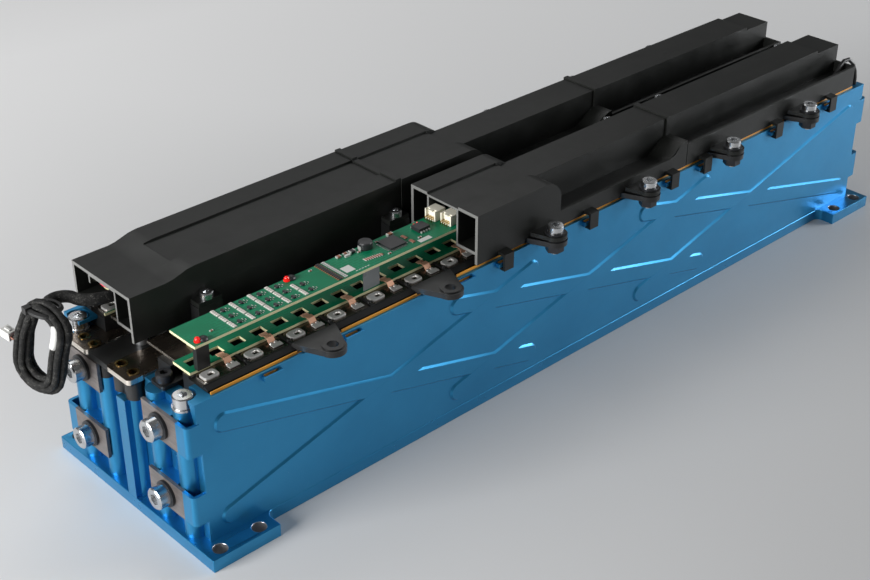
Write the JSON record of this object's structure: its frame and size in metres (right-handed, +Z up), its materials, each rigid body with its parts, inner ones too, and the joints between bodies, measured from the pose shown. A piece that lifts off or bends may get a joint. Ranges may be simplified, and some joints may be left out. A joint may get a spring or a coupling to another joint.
{
  "type": "hybrid car battery",
  "caption": "Hybrid car battery: rows of flat cells between embossed blue side plates on a base plate with ears, with bus bars, boards, covers and terminals on top.",
  "frame": {"origin": "middle of the underside of the base plate", "axes": "+X along the rows toward the end away from the terminals, +Y across the rows, +Z up from the base plate"},
  "size_m": [0.6515, 0.1578, 0.1332],
  "materials": {
    "black_plastic": "slightly glossy moulded plastic",
    "black_rubber": "cable sheath",
    "blue_paint": "satin paint over steel",
    "board_green": "solder mask on glass fibre board",
    "brass_insert": "turned brass",
    "cell_can": "plain drawn aluminium",
    "chip_black": "moulded epoxy",
    "clear_flex": "flat flexible cable",
    "copper": "copper strip",
    "cream_plastic": "moulded plastic",
    "dark_steel": "blackened steel",
    "harness_tape": "woven tape over wires",
    "led_red": "tinted epoxy",
    "nickel_bar": "nickel plated copper",
    "orange_sheet": "plain insulating sheet",
    "plain_steel": "bright plated steel",
    "resistor_white": "ceramic",
    "white_plastic": "moulded plastic"
  },
  "bodies": {
    "root": {"base_plate": "blue_paint", "centre_plate": "blue_paint", "side_plate_right": "blue_paint", "side_plate_left": "blue_paint", "end_block_right_near": "blue_paint", "end_block_right_far": "blue_paint", "end_block_left_near": "blue_paint", "end_block_left_far": "blue_paint", "tab_screws": "plain_steel", "tab_washers": "dark_steel", "column_screws": "plain_steel", "carrier_screws": "dark_steel", "floor_sheets": "black_plastic", "cells_right": "cell_can", "cells_left": "cell_can", "cell_spacers_right": "black_plastic", "cell_spacers_left": "black_plastic", "end_pads": "black_plastic", "side_liner_right": "orange_sheet", "side_liner_left": "orange_sheet", "carrier_right": "black_plastic", "carrier_left": "black_plastic", "outer_bars_right": "nickel_bar", "outer_bars_left": "nickel_bar", "inner_bars_right": "nickel_bar", "inner_bars_left": "nickel_bar", "row_link": "nickel_bar", "terminal_discs": "plain_steel", "sense_tabs": "copper", "sensing_board_right": "board_green", "sensing_board_left": "board_green", "control_board_right": "board_green", "control_board_left": "board_green", "board_standoffs": "black_plastic", "board_link": "clear_flex", "microcontroller": "chip_black", "capacitor": "chip_black", "board_connectors": "cream_plastic", "driver_chips": "chip_black", "resistor_strips": "resistor_white", "status_leds": "led_red", "terminal_plate_right": "nickel_bar", "terminal_plate_left": "nickel_bar", "terminal_inserts": "brass_insert", "terminal_carrier": "black_plastic", "cover_left_near": "black_plastic", "cover_left_middle": "black_plastic", "cover_left_far": "black_plastic", "cover_right_middle": "black_plastic", "cover_right_far": "black_plastic", "cover_bolts": "plain_steel", "cover_washers": "dark_steel", "cover_nuts": "dark_steel", "harness_lead": "harness_tape", "harness_coil": "harness_tape", "harness_tie": "white_plastic", "harness_tag": "white_plastic", "harness_connector": "white_plastic", "far_lead": "black_rubber"}
  },
  "joints": []
}
